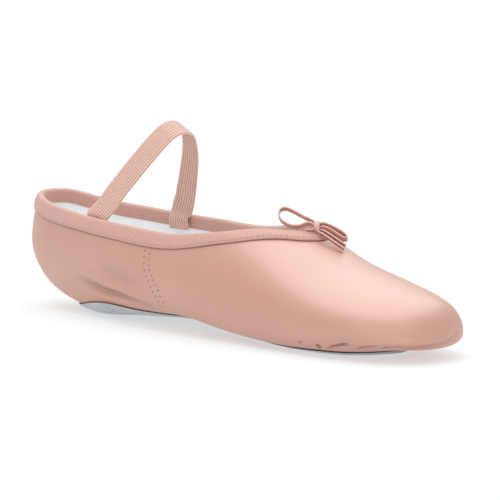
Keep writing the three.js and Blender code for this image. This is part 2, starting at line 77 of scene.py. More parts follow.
def smoothLine(places, values):  # cubic pieces whose slopes come from both neighbours
    xs, ys = np.array(places, float), np.array(values, float)
    wide = np.diff(xs)
    grade = np.diff(ys) / wide
    inner = (grade[:-1] * wide[1:] + grade[1:] * wide[:-1]) / (wide[:-1] + wide[1:])
    slope = np.concatenate([grade[:1], inner, grade[-1:]])

    def value(x):
        i = np.clip(np.searchsorted(xs, x, side="left") - 1, 0, len(xs) - 2)
        t = (x - xs[i]) / wide[i]
        rest = 1 - t
        start = ys[i] * rest**2 * (1 + 2 * t) + slope[i] * wide[i] * t * rest**2
        return start + ys[i + 1] * t**2 * (3 - 2 * t) - slope[i + 1] * wide[i] * t**2 * rest

    return value


def unit(vectors):
    return vectors / np.linalg.norm(vectors, axis=-1, keepdims=True)


def smoothStep(x, low, high):
    t = np.clip((x - low) / (high - low), 0, 1)
    return t * t * (3 - 2 * t)


def bell(distance, middle, width):  # 1 in the middle, hardly anything two widths away
    return np.exp(-((distance - middle) / width)**2)


def turnAt(x):  # 0 at the heel, pi at the toe; x runs from the heel
    return np.arccos(np.clip(1 - 2 * x / last["length"], -1, 1))


sectionTurns = turnAt(np.array(sectionAt) * last["length"])
sectionLines = {name: smoothLine(sectionTurns, row) for name, row in sectionShares.items()}


def sectionsAt(turn):
    return {
        "half": sectionLines["half"](turn) * last["ballWidth"] / 2,
        "bottom": last["stand"] + sectionLines["rise"](turn) * last["heelRise"],
        "widest": sectionLines["widest"](turn) * last["instep"],
        "top": sectionLines["top"](turn) * last["instep"],
        "full": sectionLines["full"](turn),
    }


def direction(turn, girth):  # a point of the skin is named by a direction, as on a ball
    return np.stack([-np.cos(turn), np.sin(turn) * np.sin(girth), -np.sin(turn) * np.cos(girth)], -1)


def skin(dirs):
    turn = np.arccos(np.clip(-dirs[..., 0], -1, 1))
    girth = np.abs(np.arctan2(dirs[..., 1], -dirs[..., 2]))
    row = sectionsAt(turn)
    low = girth < math.pi / 2
    full = np.where(low, row["full"], 0)
    out = (np.sin(girth) + full * np.sin(3 * girth)) / (1 - full)
    drop = (np.cos(girth) - full * np.cos(3 * girth)) / (1 - full)
    reach = np.where(low, row["widest"] - row["bottom"], row["top"] - row["widest"])
    across = np.where(dirs[..., 1] < 0, -1, 1) * row["half"] * out
    return np.stack([-last["length"] * np.cos(turn) / 2, across, row["widest"] - reach * drop], -1)


def outward(dirs, step=0.004):  # square to the skin
    flat = np.abs(dirs[..., :1]) < 0.8
    helper = np.where(flat, np.array([1.0, 0, 0]), np.array([0, 0, 1.0]))
    first = unit(np.cross(dirs, helper))
    second = unit(np.cross(dirs, first))
    slopes = [skin(unit(dirs + t * step)) - skin(unit(dirs - t * step)) for t in (first, second)]
    return unit(np.cross(slopes[0], slopes[1]))


def over(dirs, height):  # a point above the skin, or below it for a height under zero
    return skin(dirs) + outward(dirs) * np.asarray(height)[..., None]


def crossing(value, low, high):  # where a falling value passes zero; 48 halvings leave nothing between
    low, high = np.asarray(low, float), np.asarray(high, float)
    for _ in range(48):
        middle = (low + high) / 2
        above = value(middle) > 0
        low, high = np.where(above, middle, low), np.where(above, high, middle)
    return (low + high) / 2


collarLine = smoothLine(collarAt, collarShares)


def collarHeight(x):
    return collarLine(x / last["length"]) * last["heelHeight"]


def aboveCollar(x):  # where this passes zero, the collar's line leaves the top of the last
    return sectionsAt(turnAt(x))["top"] - collarHeight(x)


collarBack = float(crossing(lambda x: -aboveCollar(x), 0.001 * last["length"], 0.1 * last["length"]))
collarFront = float(crossing(aboveCollar, 0.45 * last["length"], 0.78 * last["length"]))


def collarDirection(angle):
    x = collarBack + (collarFront - collarBack) * (1 - np.cos(angle)) / 2
    row = sectionsAt(turnAt(x))
    share = np.clip((collarHeight(x) - row["widest"]) / (row["top"] - row["widest"]), -1, 1)
    return direction(turnAt(x), math.pi - np.arccos(share))


planBack = planAt[0] * last["length"]
planFront = planAt[-1] * last["length"]
planWay = (np.array(planAt) * last["length"] - planBack) / (planFront - planBack)
planLine = smoothLine(np.arccos(np.clip(1 - 2 * planWay, -1, 1)), planShares)


def soleDirection(angle, across, margin):  # across runs from -1 at the near edge to 1 at the far edge
    angle, across = np.broadcast_arrays(np.asarray(angle, float), np.asarray(across, float))
    back = planBack + margin
    x = back + (planFront - margin - back) * (1 - np.cos(angle)) / 2
    half = planLine(angle) * last["ballWidth"] / 2 - margin * np.sin(angle)
    row = sectionsAt(turnAt(x))

    def short(girth):
        width = (np.sin(girth) + row["full"] * np.sin(3 * girth)) / (1 - row["full"])
        return np.abs(across) * half - row["half"] * width

    girth = crossing(short, np.zeros_like(x), np.full_like(x, math.pi / 2))
    return direction(turnAt(x), np.where(across < 0, -girth, girth))


def between(angle, share):  # the shortest way over the ball, collar (0) to sole opening (1)
    start, end = collarDirection(angle), soleDirection(angle, 1, last["hem"])
    arc = np.arccos(np.clip((start * end).sum(-1, keepdims=True), -1, 1))
    return unit(start * np.sin((1 - share) * arc) + end * np.sin(share * arc))


def walked(points, turnWorth=0.0):  # the way walked along each line of points, from its start
    steps = np.diff(points, axis=-2)
    lengths = np.linalg.norm(steps, axis=-1)
    if turnWorth:
        aims = unit(steps)
        turns = np.arccos(np.clip((aims[..., 1:, :] * aims[..., :-1, :]).sum(-1), -1, 1))
        lengths[..., 1:] += turnWorth * turns
    return np.concatenate([np.zeros_like(lengths[..., :1]), np.cumsum(lengths, -1)], -1)


def ringWay(ring):  # the same round a closed line
    return walked(np.concatenate([ring, ring[:1]]))


ribSet = {
    "fineTurns": 801,
    "fineShares": 121,
    "toeFrom": 0.045,  # where ribs begin to stand closer for the toe
    "toeTo": 0.065,  # and where they are as close as they get
}


def layRibs(perSide, toeWeight=0.0):  # ribs run from the collar down to the sole opening, all round
    fine = np.linspace(0, math.pi, ribSet["fineTurns"])
    way = sum(walked(skin(between(fine, share)), last["tightTurn"]) for share in (0, 0.5))
    edge = skin(soleDirection(fine, 1, 0))
    toeSteps = np.diff(walked(edge)) * smoothStep(edge[1:, 0], ribSet["toeFrom"], ribSet["toeTo"])
    way[1:] += toeWeight * np.cumsum(toeSteps)
    angles = np.interp(np.linspace(0, way[-1], perSide + 1), way, fine)
    order = np.concatenate([angles, angles[-2:0:-1]])
    shares = np.linspace(0, 1, ribSet["fineShares"])[None, :, None]
    start, end = collarDirection(order)[:, None], soleDirection(order, 1, last["hem"])[:, None]
    arc = np.arccos(np.clip((start * end).sum(-1, keepdims=True), -1, 1))
    dirs = unit(start * np.sin((1 - shares) * arc) + end * np.sin(shares * arc))
    dirs[perSide + 1:, :, 1] *= -1
    way = walked(skin(dirs))
    return {"dirs": dirs, "way": way, "length": way[:, -1]}


def ribDirs(ribs, distances):  # distances (ribs, stops) below the collar's edge
    out = np.empty(distances.shape + (3,))
    for i, (way, dirs) in enumerate(zip(ribs["way"], ribs["dirs"])):
        for k in range(3):
            out[i, :, k] = np.interp(distances[i], way, dirs[:, k])
    return unit(out)


curveSteps = 41  # between two points of a curve, before it is stepped evenly


def curveThrough(points, count):  # centripetal curve, then even steps along it
    points = np.asarray(points, float)
    padded = np.vstack([2 * points[0] - points[1], points, 2 * points[-1] - points[-2]])
    t = np.linspace(0, 1, curveSteps)[:, None]
    pieces = []
    for a, b, c, d in zip(padded, padded[1:], padded[2:], padded[3:]):
        before, here, after = (math.sqrt(np.linalg.norm(q - p)) for p, q in ((a, b), (b, c), (c, d)))
        leave = ((b - a) / before - (c - a) / (before + here) + (c - b) / here) * here
        arrive = ((c - b) / here - (d - b) / (here + after) + (d - c) / after) * here
        pieces.append(b + leave * t + (3 * (c - b) - 2 * leave - arrive) * t**2
                      + (2 * (b - c) + leave + arrive) * t**3)
    line = np.vstack([pieces[0]] + [piece[1:] for piece in pieces[1:]])
    way = walked(line)
    stops = np.linspace(0, way[-1], count)
    return np.stack([np.interp(stops, way, line[:, k]) for k in range(line.shape[1])], -1)


# Meshes

mergeDistance = 2e-6  # closes seams and poles


def gridPiece(points, uvs, closeRows=False, closeColumns=False, layers=None, capEnds=False):
    layers = dict(layers or {})
    if closeRows:
        points = np.concatenate([points, points[:1]])
        layers = {key: np.concatenate([values, values[:1]]) for key, values in layers.items()}
    if closeColumns:
        points = np.concatenate([points, points[:, :1]], 1)
        layers = {key: np.concatenate([values, values[:, :1]], 1) for key, values in layers.items()}
    rows, columns = points.shape[:2]
    shape = bmesh.new()
    bmesh.ops.create_grid(shape, x_segments=columns - 1, y_segments=rows - 1, size=0.5)
    shape.verts.index_update()
    uvLayer = shape.loops.layers.uv.new("UVMap")
    kept = {key: shape.verts.layers.float.new(key) for key in layers}
    for vert, place in zip(shape.verts, points.reshape(-1, 3)):
        vert.co = place
    for key, layer in kept.items():
        for vert, value in zip(shape.verts, layers[key].ravel()):
            vert[layer] = value
    flat = uvs.reshape(-1, 2)
    for face in shape.faces:
        for loop in face.loops:
            loop[uvLayer].uv = flat[loop.vert.index]
    bmesh.ops.remove_doubles(shape, verts=shape.verts, dist=mergeDistance)
    if capEnds:
        bmesh.ops.holes_fill(shape, edges=[edge for edge in shape.edges if edge.is_boundary], sides=0)
    bmesh.ops.recalc_face_normals(shape, faces=shape.faces)
    return shape


def gridUvs(rowWay, columnWay):  # in metres along the rows and the columns, so that a weave keeps its size
    return np.stack(np.broadcast_arrays(np.asarray(rowWay)[:, None], np.atleast_2d(columnWay)), -1)


def finishPiece(name, shape, material, replaced=()):
    for face in shape.faces:
        face.smooth = True
    mesh = bpy.data.meshes.new(name)
    shape.to_mesh(mesh)
    shape.free()
    piece = bpy.data.objects.new(name, mesh)
    bpy.context.scene.collection.objects.link(piece)
    mesh.materials.append(material)
    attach(piece, "root")
    if replaced:
        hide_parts(*replaced)
    return piece


# Materials

def linear(text):  # sRGB hex to a linear colour
    channels = [int(text[i:i + 2], 16) / 255 for i in (0, 2, 4)]
    return (*[c / 12.92 if c <= 0.04045 else ((c + 0.055) / 1.055)**2.4 for c in channels], 1)


def addNode(material, kind, inputs=None, **settings):
    node = material.node_tree.nodes.new("ShaderNode" + kind)
    for key, value in settings.items():
        setattr(node, key, value)
    for key, value in (inputs or {}).items():
        if isinstance(value, bpy.types.NodeSocket):
            material.node_tree.links.new(value, node.inputs[key])
        else:
            node.inputs[key].default_value = value
    return node


def newMaterial(name, shaderInputs):
    material = bpy.data.materials.new(name)
    material.use_nodes = True
    shader = material.node_tree.nodes["Principled BSDF"]
    for key, value in shaderInputs.items():
        shader.inputs[key].default_value = value
    return material, shader


def join(material, source, socket):
    material.node_tree.links.new(source, socket)


def blotch(material, vector, first, second, size, detail=3.0):  # soft spots of two colours
    spots = addNode(material, "TexNoise", {"Vector": vector, "Scale": 1 / size, "Detail": detail})
    spread = addNode(material, "MapRange", {"Value": spots.outputs["Fac"], "From Min": 0.3, "From Max": 0.7})
    colors = {"Factor": spread.outputs["Result"], "A": linear(first), "B": linear(second)}
    return addNode(material, "Mix", colors, data_type="RGBA").outputs["Result"]


leatherLook = {
    "main": "c58f7a",
    "warm": "bf8772",
    "blotchSize": 0.035,
    # painted shade: the colour that folds, pleats, the sole's edge and the binding's edge are darkened towards
    "paintedShadeColor": "6e3a2c",
    "paintedShadeShare": 0.88,
    # painted shade in the seam's stitch holes
    "holes": "8d5a4b",
    "grain": 0.0009,
    "pore": 0.00035,
    "grainDepth": 0.00005,
    "holePitch": 0.0027,
    "rowShift": 0.45,  # of the pitch, between the two rows
    "rowApart": 0.0032,
    "holeRadius": 0.00035,
    "holeRim": 1.9,  # where a hole has faded out, in hole radii
}


def makeLeather():  # drum-dyed sheepskin, finished smooth: an even colour with painted shade in its folds, pleats and stitch holes and along the binding's and sole's edges, a satin shine, hardly any grain
    look = leatherLook
    material, shader = newMaterial("pinkSheepskin", {
        "Roughness": 0.42, "IOR": 1.7, "Specular IOR Level": 1.0})
    place = addNode(material, "TexCoord").outputs["Object"]
    color = blotch(material, place, look["main"], look["warm"], look["blotchSize"])
    across, along, paintedShade = (
        addNode(material, "Attribute", attribute_name=name, attribute_type="GEOMETRY").outputs["Fac"]
        for name in ("seamAcross", "seamAlong", "paintedShade"))
    side = addNode(material, "Math", {0: across, 1: 0.0}, operation="GREATER_THAN").outputs[0]
    shifted = addNode(material, "Math", {0: side, 1: look["holePitch"] * look["rowShift"], 2: along},
                      operation="MULTIPLY_ADD").outputs[0]
    fromHole = addNode(material, "Math", {0: shifted, 1: look["holePitch"] / 2}, operation="PINGPONG")
    offMiddle = addNode(material, "Math", {0: across}, operation="ABSOLUTE").outputs[0]
    offRow = addNode(material, "Math", {0: offMiddle, 1: look["rowApart"] / 2}, operation="SUBTRACT")
    spot = addNode(material, "CombineXYZ", {"X": offRow.outputs[0], "Y": fromHole.outputs[0]}).outputs[0]
    reach = addNode(material, "VectorMath", {0: spot}, operation="LENGTH").outputs["Value"]
    hole = addNode(material, "MapRange", {
        "Value": reach, "From Min": look["holeRadius"], "From Max": look["holeRadius"] * look["holeRim"],
        "To Min": 1.0, "To Max": 0.0}, interpolation_type="SMOOTHSTEP").outputs["Result"]
    # painted shade in folds, pleats, hem pleats, towards the sole and under the binding's edge
    deep = addNode(material, "Math", {0: paintedShade, 1: look["paintedShadeShare"]}, operation="MULTIPLY").outputs[0]
    shadedColor = addNode(material, "Mix", {"Factor": deep, "A": color, "B": linear(look["paintedShadeColor"])},
                      data_type="RGBA").outputs["Result"]
    # painted shade in the seam's stitch holes
    withHoles = addNode(material, "Mix", {"Factor": hole, "A": shadedColor, "B": linear(look["holes"])},
                        data_type="RGBA").outputs["Result"]
    join(material, withHoles, shader.inputs["Base Color"])
    grain = addNode(material, "TexVoronoi", {"Vector": place, "Scale": 1 / look["grain"]},
                    feature="SMOOTH_F1").outputs["Distance"]
    pores = addNode(material, "TexNoise", {"Vector": place, "Scale": 1 / look["pore"],
                                           "Detail": 2.0}).outputs["Fac"]
    both = addNode(material, "Math", {0: grain, 1: pores}, operation="ADD").outputs[0]
    height = addNode(material, "Math", {0: hole, 1: -3.0, 2: both}, operation="MULTIPLY_ADD").outputs[0]
    bump = addNode(material, "Bump", {"Height": height, "Strength": 0.35, "Distance": look["grainDepth"]})
    join(material, bump.outputs["Normal"], shader.inputs["Normal"])
    rough = addNode(material, "MapRange", {"Value": pores, "To Min": 0.39, "To Max": 0.47})
    join(material, rough.outputs["Result"], shader.inputs["Roughness"])
    return material


def makeCloth(name, first, second, thread, depth, ribbed=0.5, fleck=4.0, paintedToneColor=None, glow=0.0, satin=False):
    # woven cotton or elastic, dull, or softly shining where satin; drawn coarser than life, so that it shows
    # a glow above zero is painted light: the cloth lights itself though it is no lamp
    material, shader = newMaterial(name, {
        "Roughness": 0.6 if satin else 0.85, "IOR": 1.5, "Specular IOR Level": 0.7 if satin else 0.25,
        "Sheen Weight": 0.2, "Sheen Roughness": 0.6,
        "Emission Color": (1, 1, 1, 1), "Emission Strength": glow})
    uv = addNode(material, "TexCoord").outputs["UV"]
    place = addNode(material, "TexCoord").outputs["Object"]
    threads = {"Vector": uv, "Scale": math.pi / (10 * thread), "Distortion": 0.6, "Detail": 1.0}
    warp, weft = (addNode(material, "TexWave", threads, bands_direction=way).outputs["Fac"]
                  for way in ("X", "Y"))
    weave = addNode(material, "Mix", {"Factor": ribbed, "A": warp, "B": weft},
                    data_type="FLOAT").outputs["Result"]
    dust = addNode(material, "TexNoise", {"Vector": place, "Scale": 1 / (2 * thread),
                                          "Detail": 3.0}).outputs["Fac"]
    base = blotch(material, place, first, second, fleck * thread)
    # the mask's colour is painted light: painted shade along the tape's stitch row and in the elastic's rib
    # furrows, a painted highlight on the string's edges and the knot's middle
    if paintedToneColor:
        paintedTone = addNode(material, "Attribute", attribute_name="paintedTone", attribute_type="GEOMETRY")
        base = addNode(material, "Mix", {"Factor": paintedTone.outputs["Fac"], "A": base, "B": linear(paintedToneColor)},
                       data_type="RGBA").outputs["Result"]
    shade = addNode(material, "MapRange", {"Value": weave, "To Min": 0.9, "To Max": 1.04})
    toned = addNode(material, "VectorMath", {0: base, "Scale": shade.outputs["Result"]}, operation="SCALE")
    join(material, toned.outputs["Vector"], shader.inputs["Base Color"])
    height = addNode(material, "Math", {0: weave, 1: dust}, operation="ADD").outputs[0]
    bump = addNode(material, "Bump", {"Height": height, "Strength": 0.6, "Distance": depth})
    join(material, bump.outputs["Normal"], shader.inputs["Normal"])
    return material


suedeLook = {"grey": "a4a6a8", "pale": "b4b6b8", "blotchSize": 0.004, "nap": 0.0007, "napDepth": 0.0002}


def makeSuede():  # split leather, napped: grey, matt and mottled
    look = suedeLook
    material, shader = newMaterial("greySuede", {
        "Roughness": 0.95, "IOR": 1.45, "Specular IOR Level": 0.15,
        "Sheen Weight": 0.3, "Sheen Roughness": 0.7})
    place = addNode(material, "TexCoord").outputs["Object"]
    color = blotch(material, place, look["grey"], look["pale"], look["blotchSize"], detail=5.0)
    join(material, color, shader.inputs["Base Color"])
    nap = addNode(material, "TexNoise", {"Vector": place, "Scale": 1 / look["nap"], "Detail": 4.0})
    bump = addNode(material, "Bump", {"Height": nap.outputs["Fac"], "Strength": 0.6,
                                      "Distance": look["napDepth"]})
    join(material, bump.outputs["Normal"], shader.inputs["Normal"])
    return material


threadLook = {"color": "dcb0a4", "twist": 0.0003, "twistDepth": 0.0001}


def makeThread():  # spun polyester, slightly glossy
    look = threadLook
    material, shader = newMaterial("pinkSewingThread", {
        "Base Color": linear(look["color"]), "Roughness": 0.6, "IOR": 1.5, "Specular IOR Level": 0.4,
        "Sheen Weight": 0.2})
    place = addNode(material, "TexCoord").outputs["Object"]
    twist = addNode(material, "TexNoise", {"Vector": place, "Scale": 1 / look["twist"], "Detail": 2.0})
    bump = addNode(material, "Bump", {"Height": twist.outputs["Fac"], "Strength": 0.5,
                                      "Distance": look["twistDepth"]})
    join(material, bump.outputs["Normal"], shader.inputs["Normal"])
    return material


leather = makeLeather()
# the tape's darker mask colour is painted shade along its stitch row
bindingCotton = makeCloth("pinkCottonTape", "c69285", "d3a294", 0.0006, 0.0001,
                          fleck=1.5, paintedToneColor="8f5c50", satin=True)
# painted light: the lining glows a little, so that it is brighter than the lamps make it
liningCotton = makeCloth("whiteCottonTwill", "e6eaec", "eff2f3", 0.0006, 0.00006, glow=0.16)
# the elastic's darker mask colour is painted shade in its rib furrows
elasticRubber = makeCloth("pinkRibbedElastic", "e6b8a6", "eec5b4", 0.00045, 0.00008,
                          ribbed=0.2, paintedToneColor="b07f6f", satin=True)
# the string's pale mask colour is a painted highlight on its edges and on the knot's middle
stringCotton = makeCloth("rosyCottonString", "b97b69", "ca9280", 0.0005, 0.0001, paintedToneColor="f0cfc0", satin=True)
insoleCotton = makeCloth("paleCottonSock", "d9dcdc", "e4e6e6", 0.0008, 0.00006)
soleSuede = makeSuede()
bindingThread = makeThread()
print("materials made")

# Camera, at the photograph's place

cameraSet = {
    "aim": (0.00268, 0.00662, 0.03622),
    "distance": 1.3,
    "azimuth": 41.917,
    "elevation": 6.727,
    "roll": 1.558,
    "focalPixels": 2863.9,
    "pictureWidth": 500,
    "sensor": 36.0,
}


def addCamera(look):
    azimuth, elevation, roll = (math.radians(look[key]) for key in ("azimuth", "elevation", "roll"))
    back = Vector((math.sin(azimuth) * math.cos(elevation), -math.cos(azimuth) * math.cos(elevation),
                   math.sin(elevation)))
    right = Vector((math.cos(azimuth), math.sin(azimuth), 0))
    up = back.cross(right)
    rolledRight = right * math.cos(roll) + up * math.sin(roll)
    rolledUp = up * math.cos(roll) - right * math.sin(roll)
    turn = Matrix((rolledRight, rolledUp, back)).transposed().to_4x4()
    camera = bpy.data.objects.new("camera", bpy.data.cameras.new("camera"))
    bpy.context.scene.collection.objects.link(camera)
    camera.matrix_world = Matrix.Translation(Vector(look["aim"]) + back * look["distance"]) @ turn
    camera.data.sensor_width = look["sensor"]
    camera.data.lens = look["focalPixels"] / look["pictureWidth"] * look["sensor"]
    camera.data.clip_start = 0.05
    camera.data.clip_end = 200
    bpy.context.scene.camera = camera


addCamera(cameraSet)

# Drawstring and bow. Along runs on the bow's line to the toe, up is upwards, out is square to the line.

bow = {
    "ahead": 0.00245,
    "above": 0.0046,
    "yaw": 35,
    "width": 0.0026,
    "thickness": 0.00085,
    "inKnot": 0.0015,  # width of the tape where the knot squeezes it
    "knotHalf": 1.8,  # how far along the knot reaches, in millimetres
    "step": 0.0005,
    "fewestSteps": 60,
    "sides": 16,
    "flatness": 0.55,
    "plainRing": 30,  # clear of the knot
    "edgeHighlight": 0.8,  # painted highlight: how pale the tape's edges are
}
# Chosen, in millimetres from the knot's middle: along, up, out
cordRoutes = {
    "drawstring_near": [(-4.9, -1.4, 0.6), (-3.5, -1.4, 0.7), (-1.6, -1.1, 0.6)],
    "drawstring_far": [(-2.9, -0.6, -3.6), (-2, -0.4, -2.4), (-0.8, -0.2, -1.1)],
    "bow_loop_heel": [
        (-1.2, 1.7, -0.6), (-3.2, 2.5, -1.1), (-6, 3.5, -2.2), (-9.3, 4.9, -3.6), (-12.6, 6.2, -4.9),
        (-15.1, 6.6, -5.6), (-16.9, 5.9, -5.3), (-17.3, 4, -3.9), (-16.1, 1.9, -2),
        (-13.7, 0.3, -0.5), (-10.9, -0.5, 0.3), (-8.1, -0.5, 0.4), (-5.6, 0.5, 0.3),
        (-3.2, 1.1, 0.5), (-1.1, 0.4, 0.8)],
    "bow_loop_toe": [
        (1.1, 0.7, -0.9), (2.6, 0.8, -1.3), (5.5, -0.1, -1.9), (8.6, -1.5, -2.2), (11.4, -3.1, -2.3),
        (13.1, -4.5, -2), (13.4, -5.3, -1.2), (12, -5.3, -0.6), (9.1, -3.7, -0.5), (5.7, -1.7, -0.4),
        (2.8, -0.7, -0.2), (1.2, -0.6, -0.1)],
    "bow_tail_far": [
        (1.3, -1.7, 0.1), (2.9, -2.2, 0.3), (5.9, -3.7, 0.6), (9.3, -5.8, 0.7), (13.1, -8.1, 0.7)],
    "bow_tail_near": [
        (0.9, -2.4, 1.1), (3, -3.4, 1.8), (6, -5.2, 2.2), (9.4, -7.4, 2.3), (12.8, -9.5, 2.3)],
}
# How far the tape's width turns up from the out direction, in degrees
cordTilts = {"drawstring_near": 0, "drawstring_far": 0, "bow_loop_heel": 48, "bow_loop_toe": 60,
             "bow_tail_far": 45, "bow_tail_near": 35}
cordParts = {
    "near_drawstring": ["drawstring_near", (0.3, 0.4, 0.2), "bow_loop_heel", "bow_tail_near"],
    "far_drawstring": ["drawstring_far", "bow_loop_toe", (-0.4, -0.3, 0), "bow_tail_far"],
}

knotStation = collarFront + bow["ahead"]
knotMiddle = np.array([knotStation - last["length"] / 2, 0,
                       float(sectionsAt(turnAt(knotStation))["top"]) + bow["above"]])
bowYaw = math.radians(bow["yaw"])
bowAlong = np.array([math.cos(bowYaw), math.sin(bowYaw), 0])
bowOut = np.array([math.sin(bowYaw), -math.cos(bowYaw), 0])
upward = np.array([0, 0, 1.0])
bowFrame = np.stack([bowAlong, upward, bowOut])


def bandRings(middles, acrosses, widths, thickness, outline):
    tangents = unit(np.gradient(middles, axis=0))
    sides = unit(acrosses - tangents * (acrosses * tangents).sum(-1, keepdims=True))
    faces = np.cross(tangents, sides)
    return (middles[:, None] + sides[:, None] * outline[None, :, :1] * widths[:, None, None] / 2
            + faces[:, None] * outline[None, :, 1:] * thickness / 2)


def tapeOutline(flat, count):  # a rounded slab, thinner at its edges
    angle = np.linspace(0, 2 * math.pi, count, endpoint=False)
    side = np.sign(np.cos(angle)) * np.abs(np.cos(angle))**flat
    face = np.sign(np.sin(angle)) * np.abs(np.sin(angle))**flat
    return np.stack([side, face], -1)


def bandPiece(line, rings, paintedTone, plainRing, name, material, nodes):
    # a plain ring is measured for the weave; the mask says where the outline takes the painted colour: painted
    # shade on the elastic, a painted highlight on the string
    shape = gridPiece(rings, gridUvs(walked(line), ringWay(rings[plainRing])), closeColumns=True, capEnds=True,
                      layers={"paintedTone": np.broadcast_to(paintedTone, rings.shape[:2])})
    return finishPiece(name, shape, material, nodes)


def makeCord(name, parts):
    look = bow
    places, tilts, widths = [], [], []
    for part in parts:
        free = isinstance(part, str)
        for place in cordRoutes[part] if free else [part]:
            places.append(place)
            tilts.append(cordTilts[part] if free else tilts[-1])
            inside = abs(place[0]) < look["knotHalf"]
            widths.append(look["inKnot"] if inside else look["width"])
    places = knotMiddle + np.array(places) * 0.001 @ bowFrame
    rough = walked(places)
    line = curveThrough(places, max(look["fewestSteps"], round(rough[-1] / look["step"])))
    way = walked(line) / walked(line)[-1] * rough[-1]
    tilt = np.radians(np.interp(way, rough, tilts))[:, None]
    acrosses = bowOut * np.cos(tilt) + upward * np.sin(tilt)
    outline = tapeOutline(look["flatness"], look["sides"])
    rings = bandRings(line, acrosses, np.interp(way, rough, widths), look["thickness"], outline)
    # painted highlight along the tape's edges
    edgeHighlight = look["edgeHighlight"] * smoothStep(np.abs(outline[:, 0]), 0.8, 1.0)
    nodes = [part for part in parts if isinstance(part, str)]
    return bandPiece(line, rings, edgeHighlight, look["plainRing"], name, stringCotton, nodes), line


knotWrap = {
    "turns": 2.1,
    "radiusUp": 0.00188,
    "radiusOut": 0.00178,
    "pitch": 0.0017,
    "width": 0.002,
    "thickness": 0.0008,
    "steps": 120,
    "sides": 14,
    "flatness": 0.7,
    "tuck": 0.5,  # how far the ends of the wrap go in
    "rubbed": 0.55,  # painted highlight: how pale the middle of the tape is
    "plainRing": 60,
}


def makeKnot(look):
    turn = np.linspace(-0.5, look["turns"] - 0.5, look["steps"]) * 2 * math.pi
    share = np.linspace(-1, 1, look["steps"])
    tuck = 1 - look["tuck"] * smoothStep(np.abs(share), 0.85, 1.0)
    local = np.stack([share * look["pitch"] * look["turns"] / 4, look["radiusUp"] * tuck * np.cos(turn),
                      look["radiusOut"] * tuck * np.sin(turn)], -1)
    line = knotMiddle + local @ bowFrame
    across = np.broadcast_to(bowAlong, line.shape)
    widths = np.full(look["steps"], look["width"])
    outline = tapeOutline(look["flatness"], look["sides"])
    rings = bandRings(line, across, widths, look["thickness"], outline)
    # painted highlight down the middle of the wrap
    rubbed = look["rubbed"] * (1 - smoothStep(np.abs(outline[:, 0]), 0.5, 1.0))
    return bandPiece(line, rings, rubbed, look["plainRing"], "bow_wrap", stringCotton,
                     ["bow_knot"])


knotPiece = makeKnot(knotWrap)
for cordName, cordPieces in cordParts.items():
    cordPiece, cordLine = makeCord(cordName, cordPieces)
    cordLength = float(walked(cordLine)[-1])
    print(cordName, "is", round(cordLength * 1000, 1), "mm long")

# Upper

upperSet = {
    "ribsPerSide": 280,
    "toeWeight": 3.0,  # how much closer the ribs stand at the toe
    "outerStops": 118,
    "innerStops": 44,
    "bunching": 0.25,  # how much closer the stops stand at the sole
    "skinDepth": 0.00095,  # leather alone; the lining lies inside it
    "glue": 0.00005,
    "topEdge": 0.0006,  # below the collar's edge, hidden by the binding
    "bindingEdge": 0.0062,
    "edgeStops": [-0.0004, -0.0001, 0.0002, 0.0005],  # more stops beside the binding's edge
}
# Folds laid on the near side, in millimetres: x from the heel, y from the middle, z from the floor.
# A height below zero is a trough.
quarterFolds = [
    {"path": [(66.6, -30.7, 26.6), (75.7, -32, 24), (85.2, -33, 21.8), (94.3, -33.9, 20.1)],
     "height": -0.55, "width": 3.6},
    {"path": [(52.8, -28.6, 22.6), (59.2, -29.6, 21.5), (64.4, -30.3, 19.8), (69, -31, 19.4)],
     "height": 0.5, "width": 1.3},
    {"path": [(66.8, -30.7, 19.4), (75.4, -31.6, 17.8), (81, -32.1, 16.9), (88, -32.5, 15.6),
              (93, -32.5, 14.3), (99.1, -32.4, 13.2), (105.1, -31.9, 12)],
     "height": 1.5, "width": 1.6},
    {"path": [(50, -28, 18.2), (54.1, -28.5, 17.4), (62.5, -29.6, 15.5), (68.7, -30, 14), (74.4, -30.6, 13.5),
              (80.3, -31.1, 13.1), (87, -31.4, 12.5), (93.6, -31.6, 12), (101, -31.2, 10.9)],
     "height": -1.8, "width": 1.8},
    {"path": [(46.4, -26.1, 13.4), (52.5, -26.9, 12.4), (58.9, -27.8, 12.2), (64.4, -28.1, 11.3),
              (71.5, -28.6, 10.9), (78.5, -29.2, 10.9), (83.9, -29.5, 10.8)],
     "height": 1.0, "width": 1.2},
]
# Pleats where the vamp is gathered over the sole's edge, from the sole outwards, and the roll round the toe
toePleats = [
    {"path": [(191.2, -34.4, 4.9), (193.5, -35.1, 6.1)],
     "height": -0.6, "width": 0.7},
    {"path": [(199.4, -29.4, 2.6), (200.3, -30.9, 3.4), (201, -32.6, 4.6), (200.5, -34.2, 6)],
     "height": -1.3, "width": 0.75},
    {"path": [(205, -30.8, 4.1), (209, -32, 4.9), (213.5, -32.2, 5.9), (217.5, -31.6, 6.7)],
     "height": -1.7, "width": 0.75},
    {"path": [(207, -29.5, 3.2), (210.5, -31, 4.1), (214, -31.2, 4.8), (218, -30.6, 5.5)],
     "height": 0.5, "width": 0.7},
    {"path": [(217.5, -26.2, 5), (219.8, -27, 6), (224.2, -26.8, 6.8), (229, -25.8, 7.7)],
     "height": -1.3, "width": 0.7},
    {"path": [(218, -23.6, 4), (222, -25, 5.2), (226, -25, 6.1), (230, -24.2, 6.9)],
     "height": 0.45, "width": 0.7},
    {"path": [(227.4, -21.8, 5.8), (230, -22, 6.4), (233, -21.6, 7), (237.8, -19.2, 7.9)],
     "height": -1.0, "width": 0.7},
]
